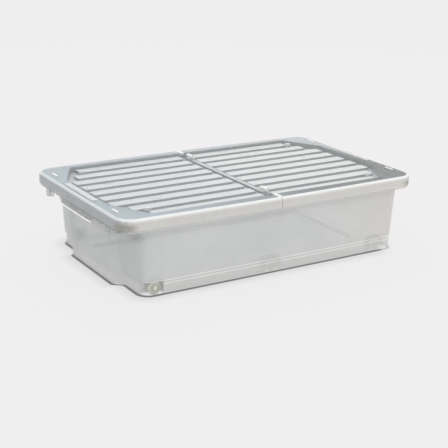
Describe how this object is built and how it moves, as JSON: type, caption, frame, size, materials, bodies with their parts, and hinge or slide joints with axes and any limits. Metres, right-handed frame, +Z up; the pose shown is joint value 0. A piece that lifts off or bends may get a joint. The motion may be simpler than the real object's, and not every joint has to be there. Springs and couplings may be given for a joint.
{
  "type": "under bed storage box",
  "caption": "Shallow clear plastic tub on small wheels, with rim grips and a ribbed lid in two halves that fold up about a hinge across the middle",
  "frame": {"origin": "on the floor, under the middle of the box", "axes": "+X along the box towards its right end, +Y across it towards the back, +Z up"},
  "size_m": [0.74, 0.458, 0.1802],
  "materials": {
    "tub_plastic": "clear natural polypropylene, slightly milky",
    "lid_plastic": "clear natural polypropylene, slightly milky",
    "wheel_plastic": "pale grey plastic, smooth",
    "axle_plastic": "natural plastic pin",
    "pin_plastic": "natural plastic pin"
  },
  "bodies": {
    "tub": {"tub": "tub_plastic", "axle_front_left": "axle_plastic", "axle_back_left": "axle_plastic", "axle_front_middle": "axle_plastic", "axle_back_middle": "axle_plastic", "axle_front_right": "axle_plastic", "axle_back_right": "axle_plastic"},
    "wheel_front_left": {"wheel_front_left": "wheel_plastic"},
    "wheel_back_left": {"wheel_back_left": "wheel_plastic"},
    "wheel_front_middle": {"wheel_front_middle": "wheel_plastic"},
    "wheel_back_middle": {"wheel_back_middle": "wheel_plastic"},
    "wheel_front_right": {"wheel_front_right": "wheel_plastic"},
    "wheel_back_right": {"wheel_back_right": "wheel_plastic"},
    "hinge_pins": {"hinge_pin_front": "pin_plastic", "hinge_pin_back": "pin_plastic"},
    "lid_left": {"lid_left": "lid_plastic"},
    "lid_right": {"lid_right": "lid_plastic"}
  },
  "joints": [
    {"name": "roll_front_left", "type": "hinge", "parent": "tub", "child": "wheel_front_left", "pos_m": [-0.284, -0.1895, 0.0145], "axis": [0, 1, 0], "continuous": true},
    {"name": "roll_back_left", "type": "hinge", "parent": "tub", "child": "wheel_back_left", "pos_m": [-0.284, 0.1895, 0.0145], "axis": [0, 1, 0], "continuous": true},
    {"name": "roll_front_middle", "type": "hinge", "parent": "tub", "child": "wheel_front_middle", "pos_m": [0, -0.1895, 0.0145], "axis": [0, 1, 0], "continuous": true},
    {"name": "roll_back_middle", "type": "hinge", "parent": "tub", "child": "wheel_back_middle", "pos_m": [0, 0.1895, 0.0145], "axis": [0, 1, 0], "continuous": true},
    {"name": "roll_front_right", "type": "hinge", "parent": "tub", "child": "wheel_front_right", "pos_m": [0.284, -0.1895, 0.0145], "axis": [0, 1, 0], "continuous": true},
    {"name": "roll_back_right", "type": "hinge", "parent": "tub", "child": "wheel_back_right", "pos_m": [0.284, 0.1895, 0.0145], "axis": [0, 1, 0], "continuous": true},
    {"name": "lid_lift", "type": "slide", "parent": "tub", "child": "hinge_pins", "axis": [0, 0, 1], "range_m": [0, 0.08]},
    {"name": "fold_left", "type": "hinge", "parent": "hinge_pins", "child": "lid_left", "pos_m": [0, 0, 0.1758], "axis": [0, 1, 0], "range_deg": [0, 88]},
    {"name": "fold_right", "type": "hinge", "parent": "hinge_pins", "child": "lid_right", "pos_m": [0, 0, 0.1758], "axis": [0, -1, 0], "range_deg": [0, 88]}
  ]
}
